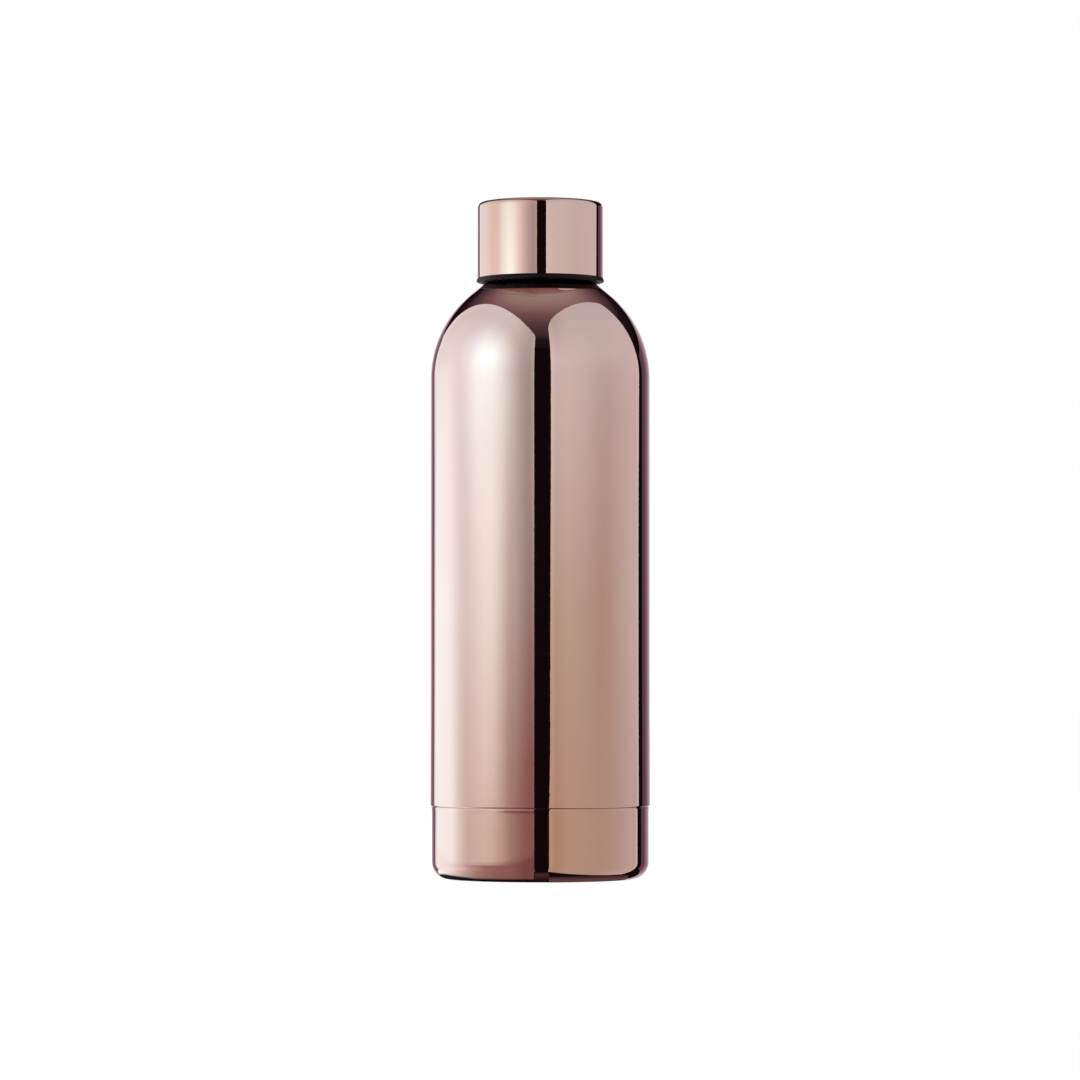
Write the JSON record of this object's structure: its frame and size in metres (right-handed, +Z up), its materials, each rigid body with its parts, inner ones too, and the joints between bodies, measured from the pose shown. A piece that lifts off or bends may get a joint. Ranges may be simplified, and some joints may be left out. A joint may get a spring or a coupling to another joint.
{
  "type": "water bottle",
  "caption": "Slim double-wall vacuum water bottle in a mirror copper-tone finish, with a domed shoulder, a separate foot cup and a screw cap that unscrews and lifts clear.",
  "frame": {"origin": "centre of the foot, on the surface the bottle stands on", "axes": "+Z up along the bottle's axis towards the cap; +X and +Y are across it, and the bottle looks the same from every side"},
  "size_m": [0.0702, 0.0702, 0.2166],
  "materials": {
    "copper_mirror": "polished",
    "copper_mirror_cup": "polished",
    "copper_mirror_cap": "polished",
    "plain_steel": "satin",
    "brushed_liner_steel": "satin",
    "copper_foil": "gloss",
    "sealing_glass": "gloss",
    "getter_alloy": "matte",
    "silicone": "matte",
    "black_plastic": "satin",
    "foam": "matte"
  },
  "bodies": {
    "bottle": {"outer_shell": "copper_mirror", "base_cup": "copper_mirror_cup", "outer_bottom": "plain_steel", "seal_bead": "sealing_glass", "inner_vessel": "brushed_liner_steel", "inner_bottom": "brushed_liner_steel", "radiation_foil": "copper_foil", "foil_disc": "copper_foil", "getter": "getter_alloy", "getter_clip": "plain_steel"},
    "seal": {"cap_gasket": "silicone"},
    "cap": {"cap_shell": "copper_mirror_cap", "cap_liner": "black_plastic", "cap_insulation": "foam"}
  },
  "joints": [
    {"name": "cap_lift", "type": "slide", "parent": "bottle", "child": "seal", "axis": [0, 0, 1], "range_m": [0, 0.021]},
    {"name": "cap_turn", "type": "hinge", "parent": "seal", "child": "cap", "pos_m": [0, 0, 0.2], "axis": [0, 0, 1], "range_deg": [0, 1890]}
  ],
  "couplings": [
    {"joint": "cap_lift", "follows": "cap_turn", "m_per_rad": 0.0006366}
  ]
}
